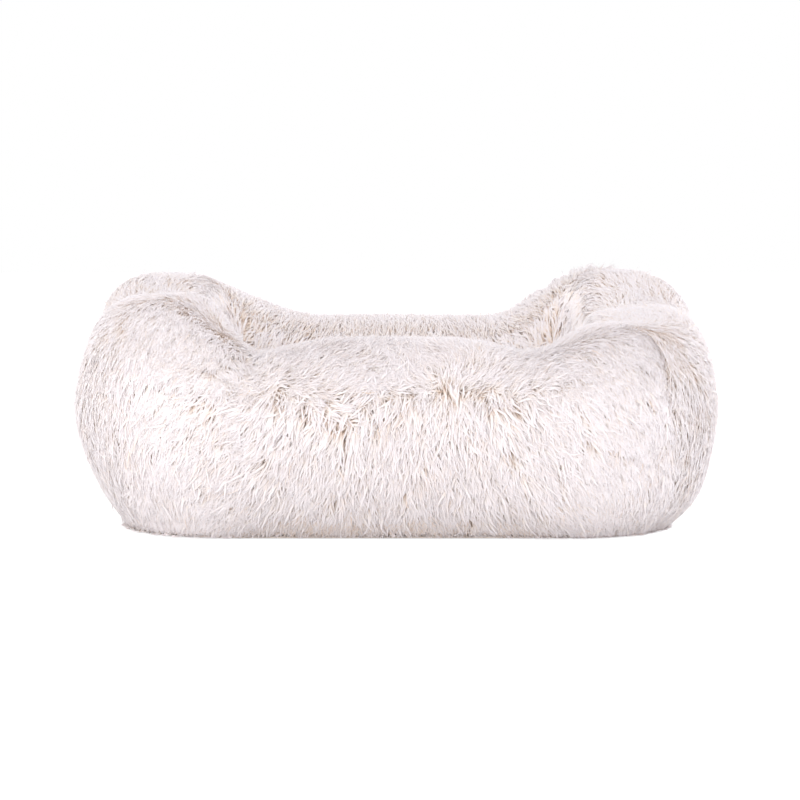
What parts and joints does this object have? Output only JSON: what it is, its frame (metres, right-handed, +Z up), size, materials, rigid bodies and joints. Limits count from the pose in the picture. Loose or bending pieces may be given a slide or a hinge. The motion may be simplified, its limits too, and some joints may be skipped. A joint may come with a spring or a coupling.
{
  "type": "pet bed",
  "caption": "Rectangular pet bed in long shaggy faux fur, with thick stuffed walls raised at the corners around a loose crowned cushion, and a hidden zip under the back wall.",
  "frame": {"origin": "on the floor, at the middle of the bed's outline seen from above", "axes": "+X to the right along the bed's length, +Y to the back, +Z up; the front faces -Y"},
  "size_m": [0.7, 0.57, 0.27],
  "materials": {
    "fur": "long shaggy pile, matt",
    "bag_cloth": "thin non-woven, matt",
    "fibre_filling": "loose hollow fibre",
    "plain_cloth": "plain woven, matt",
    "base_cloth": "woven with rubber grip dots",
    "zip_tape": "ribbed tape",
    "zip_teeth": "nylon coil",
    "zip_metal": "plated, satin",
    "label_ribbon": "satin ribbon, blank"
  },
  "bodies": {
    "bed": {"front_fur_panel": "fur", "front_filling_bag": "bag_cloth", "front_filling": "fibre_filling", "back_fur_panel": "fur", "back_filling_bag": "bag_cloth", "back_filling": "fibre_filling", "left_fur_panel": "fur", "left_filling_bag": "bag_cloth", "left_filling": "fibre_filling", "right_fur_panel": "fur", "right_filling_bag": "bag_cloth", "right_filling": "fibre_filling", "base_panel": "base_cloth", "base_pad": "fibre_filling", "floor_lining": "plain_cloth", "zip_tape_upper": "zip_tape", "zip_tape_lower": "zip_tape", "zip_teeth_upper": "zip_teeth", "zip_teeth_lower": "zip_teeth", "zip_bottom_stop": "zip_metal", "zip_top_stop_upper": "zip_metal", "zip_top_stop_lower": "zip_metal", "care_label": "label_ribbon"},
    "cushion": {"cushion_fur_top": "fur", "cushion_base_cloth": "plain_cloth", "cushion_filling": "fibre_filling"},
    "slider": {"zip_slider": "zip_metal"},
    "pull": {"zip_pull": "zip_metal"}
  },
  "joints": [
    {"name": "cushion_lift", "type": "slide", "parent": "bed", "child": "cushion", "axis": [0, 0, 1], "range_m": [0, 0.26]},
    {"name": "zip_run", "type": "slide", "parent": "bed", "child": "slider", "axis": [1, 0, 0], "range_m": [0, 0.298]},
    {"name": "zip_pull_swing", "type": "hinge", "parent": "slider", "child": "pull", "pos_m": [-0.1491, 0.24633, 0.01494], "axis": [0, 0.6551, 0.7555], "range_deg": [-85, 85]}
  ]
}
